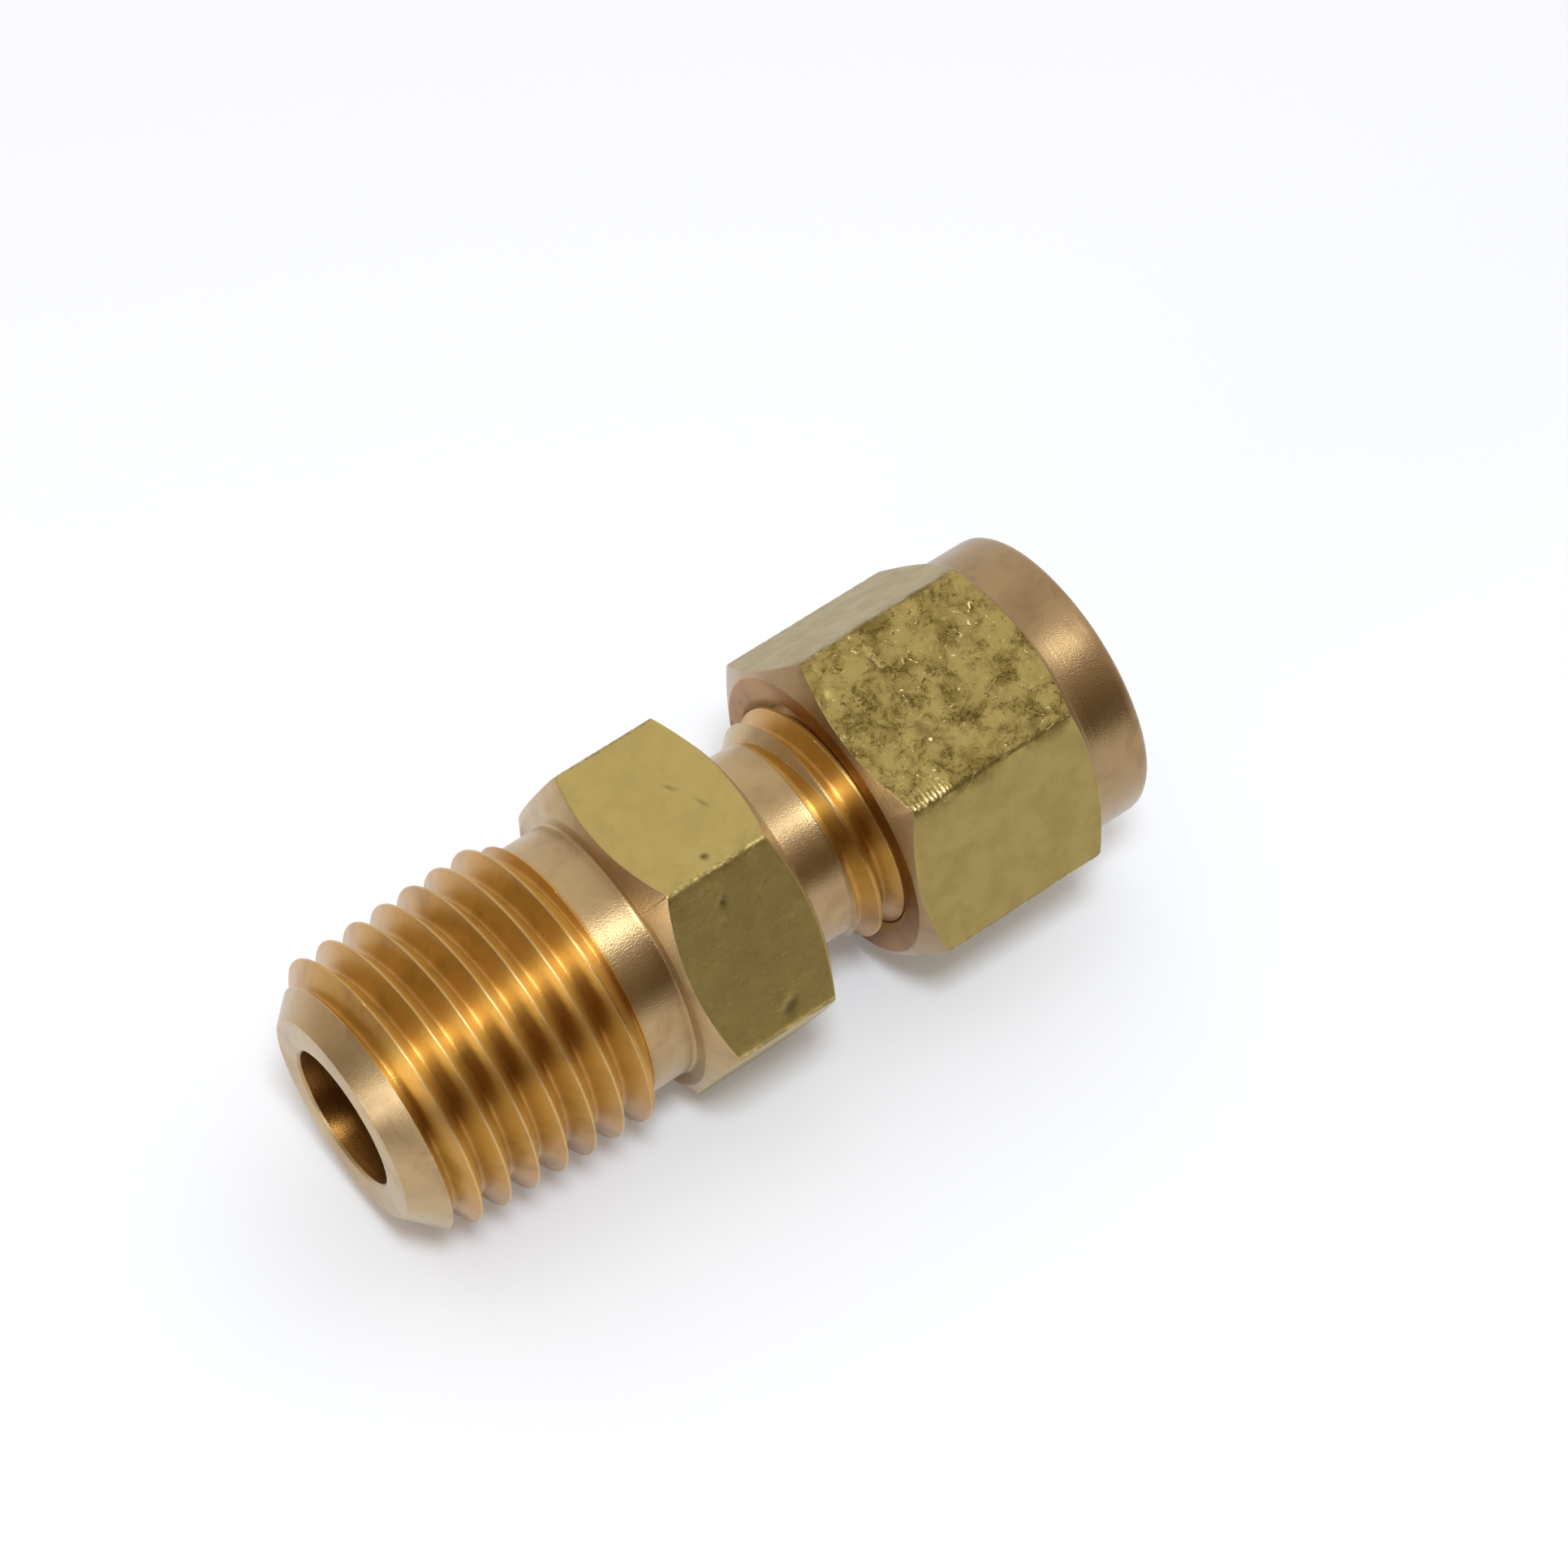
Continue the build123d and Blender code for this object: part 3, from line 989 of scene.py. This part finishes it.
# The flat that has been knocked most: a scratch, a nick in the edge and a few dents.
nut_marks = [
    (nut_top_flat, 28.7, 2.4, 0.85, 0.16, -79, 0.06, 0.7),
    (nut_top_flat, 28.2, 1.2, 0.55, 0.14, 85, 0.04, 0.5),
    (nut_top_flat, 25.85, 2.1, 0.35, 0.25, 60, 0.08, -0.3),
    (nut_top_flat, 28.5, -1.1, 0.35, 0.2, 30, 0.08, -0.6),
    (nut_top_flat, 30.7, -1.5, 0.7, 0.3, 20, 0.03, -0.3),
    (nut_top_flat, 32.6, -3.6, 0.6, 0.3, 10, 0.04, -0.4),
    (nut_top_flat, 27.3, -2.2, 0.3, 0.15, 45, 0.04, -0.5),
    (nut_top_flat, 31.6, 1.6, 0.3, 0.14, -30, 0.03, 0.6),
]
# A cutting tool shook along one edge near the mouth.
chatter_edge = 43.6
chatter_length = 2.6
chatter_spacing = 0.22
nut_chatter = (chatter_edge, nut_start, nut_start + chatter_length, chatter_spacing)


def nut_groove(x):
    """The nut's groove, cut outwards to one depth."""
    return np.full_like(x, nut_bottom)


def nowhere_turned(x):
    """Inside the nut's thread nothing keeps the finish of plain turning."""
    return np.full(np.shape(x), False)


nut_outline = [
    # The face round the mouth has the bored finish, whose darker colour is painted shade.
    corner(nut_start, nut_mouth, worn_edge, BORED),
    corner(nut_start, nut_face, worn_edge),
    *bar_face(
        nut_angles,
        rest_turn + nut_turn,
        nut_back,
        nut_front,
        nut_rows,
        nut_marks,
        [nut_chatter],
    ),
    corner(nut_hex_end, shoulder, shoulder_root_ease),
    *along((nut_hex_end, shoulder), (nut_end - rim, shoulder), shoulder_rows, TURNED),
    corner(nut_end, shoulder, rim),
    corner(nut_end, nut_hole + mouth_edge, fine_edge),
    corner(nut_end - mouth_edge, nut_hole, fine_edge, BORED),
    corner(cone_foot, nut_hole, fine_edge, BORED),
    corner(cone_start, nut_crest, 0, BORED),
    corner(relief_end, nut_crest, fine_edge, BORED),
    corner(relief_end, nut_bottom, fine_edge, BORED),
    corner(relief_start, nut_bottom, 0, THREADED),
    *reversed(
        thread(
            nut_angles,
            nut_pitch,
            screw_clock,
            collar_end + nut_pitch / 2,
            (nut_start + thread_margin, relief_start),
            (nut_groove, groove_half_root, groove_root_ease),
            ([nut_start, mouth_cone_end, far_along], [nut_mouth, nut_crest, nut_crest]),
            nowhere_turned,
            hollow=True,
        )
    ),
]
# The same bar, but this length of it is darker with stains on the flat that lies uppermost.
stained_bar_brass = drawn_finish(
    "stained_bar_brass", "#A38E54", "#75622F", stained_side=nut_top_flat, amount=1.0
)
# It was turned in another batch, and its turned faces have gone browner.
browned_brass = turned_finish(
    "browned_brass",
    "#A5875C",
    "#8E7048",
    feed=0.14,
    ring_depth=0.008,
    roughness=0.36,
    across=0.8,
    oil=0.4,
)
nut_finishes = [browned_brass, threaded_brass, stained_bar_brass, bored_brass_painted_shade]
nut_piece = ring_mesh("nut", nut_angles, nut_outline, nut_finishes)
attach(nut_piece, "nut")
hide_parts("coupling_nut")

# ---- ferrules ------------------------------------------------------------------------------
# Two small turned rings that lie inside the nut. The front one is a cone that will seal in the
# body's mouth, and the back one pushes it and grips the tube. They are the same turned brass.
for name in ("front_ferrule", "back_ferrule"):
    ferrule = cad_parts[name]
    ferrule.data.materials.clear()
    ferrule.data.materials.append(turned_brass)

# ---- floor and light -----------------------------------------------------------------------
# The fitting lies on white paper, tipped 3 degrees because it rests on the pipe thread's crest
# and on corners of its hexagons. A softbox stands over it, a little to the near side, a weaker
# one stands low before the pipe end, and the room is bright behind the nut and dim in front.
floor_lean = math.radians(3.06)
floor_place = Vector((25.84, 0, -7.94)) * MM
half_floor = 1.5
paper_lift = 0.14
room_bright_way = (0.6, 0.55, 0.6)
room_dim, room_bright = 0.12, 1.02
room_dim_from, room_bright_from = -0.25, 0.75
lamp_distance = 0.4

floor_mesh = bpy.data.meshes.new("floor")
floor_corners = [
    (x * half_floor, y * half_floor, 0) for x, y in ((-1, -1), (1, -1), (1, 1), (-1, 1))
]
floor_mesh.from_pydata(floor_corners, [], [(0, 1, 2, 3)])
floor = bpy.data.objects.new("floor", floor_mesh)
bpy.context.scene.collection.objects.link(floor)
floor.location = floor_place
floor.rotation_euler = (0, floor_lean, 0)

# White paper: its own colour with the shadow, and a little added where it is looked at, by the
# camera, in a reflection or through glass, so that it comes out white.
paper = bpy.data.materials.new("white_paper")
paper.use_nodes = True
paper_tree = paper.node_tree
paper_shader = paper_tree.nodes["Principled BSDF"]
paper_shader.inputs["Base Color"].default_value = linear("#E2E2E2")
paper_shader.inputs["Roughness"].default_value = 0.9
paper_shader.inputs["Emission Color"].default_value = (1, 1, 1, 1)
rays = add(paper_tree, "ShaderNodeLightPath")
seen = add(
    paper_tree,
    "ShaderNodeMath",
    {0: rays.outputs["Is Camera Ray"], 1: rays.outputs["Is Glossy Ray"]},
    operation="MAXIMUM",
)
seen_through = add(
    paper_tree,
    "ShaderNodeMath",
    {0: seen.outputs[0], 1: rays.outputs["Is Transmission Ray"]},
    operation="MAXIMUM",
)
lift = add(
    paper_tree,
    "ShaderNodeMath",
    {0: seen_through.outputs[0], 1: paper_lift},
    operation="MULTIPLY",
)
paper_tree.links.new(lift.outputs[0], paper_shader.inputs["Emission Strength"])
floor_mesh.materials.append(paper)

# The room is a soft backdrop, white where it is bright and warm where it is dim.
room = bpy.data.worlds.new("studio")
bpy.context.scene.world = room
room.use_nodes = True
room_tree = room.node_tree
backdrop = room_tree.nodes["Background"]
look_way = add(room_tree, "ShaderNodeTexCoord").outputs["Generated"]
behind = add(
    room_tree, "ShaderNodeVectorMath", {0: look_way, 1: room_bright_way}, operation="DOT_PRODUCT"
)
brightness = add(
    room_tree,
    "ShaderNodeMapRange",
    {
        "Value": behind.outputs["Value"],
        "From Min": room_dim_from,
        "From Max": room_bright_from,
        "To Min": room_dim,
        "To Max": room_bright,
    },
)
room_tree.links.new(brightness.outputs[0], backdrop.inputs["Strength"])
room_colour = add(
    room_tree,
    "ShaderNodeMix",
    {0: brightness.outputs[0], 6: linear("#D9A860"), 7: (1, 1, 1, 1)},
    data_type="RGBA",
)
room_tree.links.new(room_colour.outputs[2], backdrop.inputs["Color"])

# Each lamp: its power, its side, the way it stands from what it lights, and its colour.
for lamp_name, power, lamp_side, stands, lights, lamp_colour in (
    ("softbox", 1.05, 0.085, (-0.12, -0.35, 0.93), (18, 0, 0), "#E6F1FF"),
    ("window", 0.33, 0.12, (-0.95, -0.21, 0.21), (0, 0, 0), "#FFFFFF"),
):
    lamp = bpy.data.lights.new(lamp_name, "AREA")
    lamp.energy = power
    lamp.size = lamp_side
    lamp.color = linear(lamp_colour)[:3]
    lamp_object = bpy.data.objects.new(lamp_name, lamp)
    bpy.context.scene.collection.objects.link(lamp_object)
    lamp_way = Vector(stands).normalized()
    lamp_object.location = Vector(lights) * MM + lamp_way * lamp_distance
    lamp_object.rotation_euler = lamp_way.to_track_quat("Z", "Y").to_euler()

bpy.context.scene.view_settings.view_transform = "Standard"
